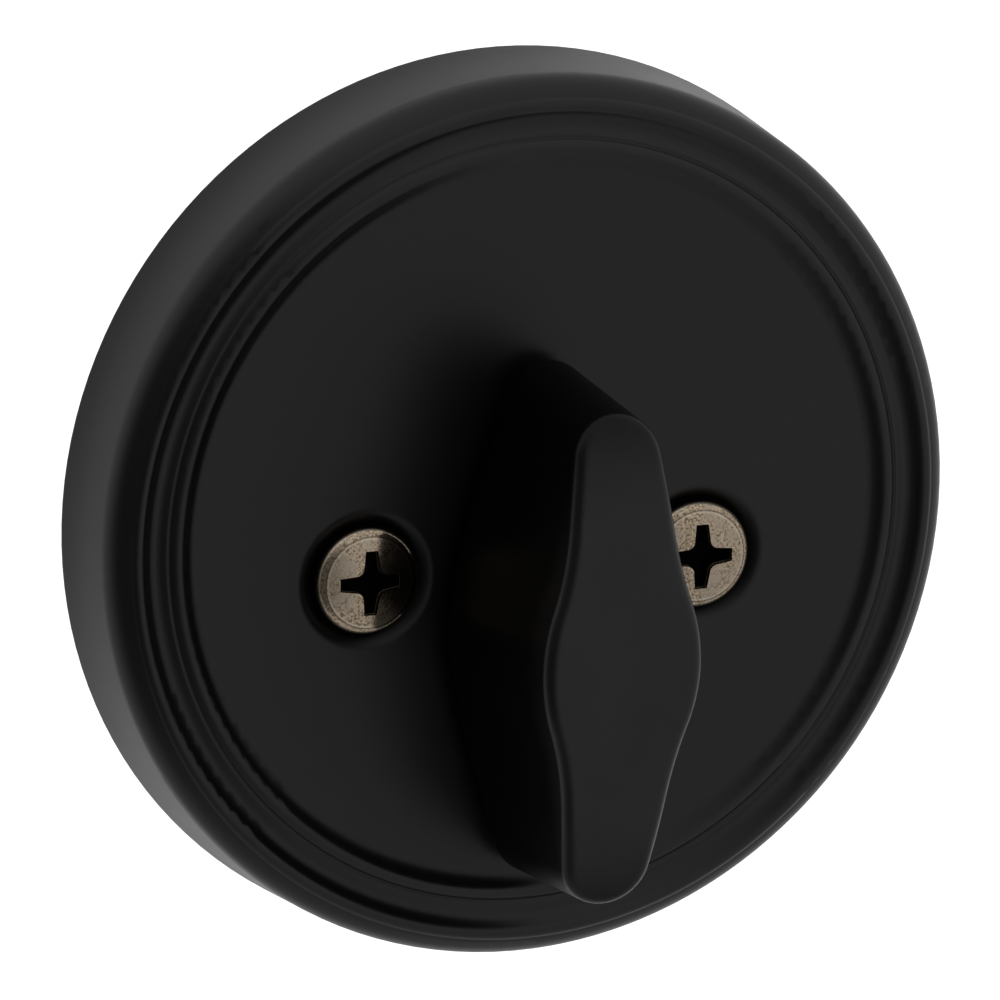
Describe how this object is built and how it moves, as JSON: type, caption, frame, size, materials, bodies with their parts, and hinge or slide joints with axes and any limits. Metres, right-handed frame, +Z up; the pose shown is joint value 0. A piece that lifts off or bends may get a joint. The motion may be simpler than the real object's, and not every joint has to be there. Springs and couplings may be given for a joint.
{
  "type": "deadbolt door lock",
  "caption": "Inside half of a tubular deadbolt: round ringed rose, lozenge thumb turn, pan-head mounting screws and a torque blade that works the bolt.",
  "frame": {"origin": "midpoint between the two mounting screws, on the surface of the door", "axes": "+Z up and +X right as seen from the room, +Y into the door; the turn piece stands out towards -Y"},
  "size_m": [0.068, 0.0712, 0.068],
  "materials": {
    "rose_coat": "matte black powder coat",
    "turn_coat": "matte black powder coat",
    "bushing_nylon": "natural nylon",
    "washer_steel": "bright zinc",
    "spring_steel": "oiled spring steel",
    "clip_steel": "black phosphate",
    "blade_steel": "bright zinc",
    "pin_steel": "plain steel",
    "plate_zinc": "zinc-plated pressed steel",
    "spacer_zinc": "zinc-plated tube",
    "screw_plating": "aged antique plating with a worn rim"
  },
  "bodies": {
    "rose_unit": {"rose": "rose_coat", "pivot_bushing": "bushing_nylon", "thrust_washer": "washer_steel", "mounting_plate": "plate_zinc", "spacer_left": "spacer_zinc", "spacer_right": "spacer_zinc", "mounting_screw_left": "screw_plating", "mounting_screw_right": "screw_plating"},
    "turn": {"turn_piece": "turn_coat", "curved_spring_washer": "spring_steel", "retaining_clip": "clip_steel", "torque_blade": "blade_steel", "blade_pin": "pin_steel"}
  },
  "joints": [
    {"name": "turn_pivot", "type": "hinge", "parent": "rose_unit", "child": "turn", "pos_m": [0, -0.0091, -0.0033], "axis": [0, 1, 0], "range_deg": [0, 90]}
  ]
}
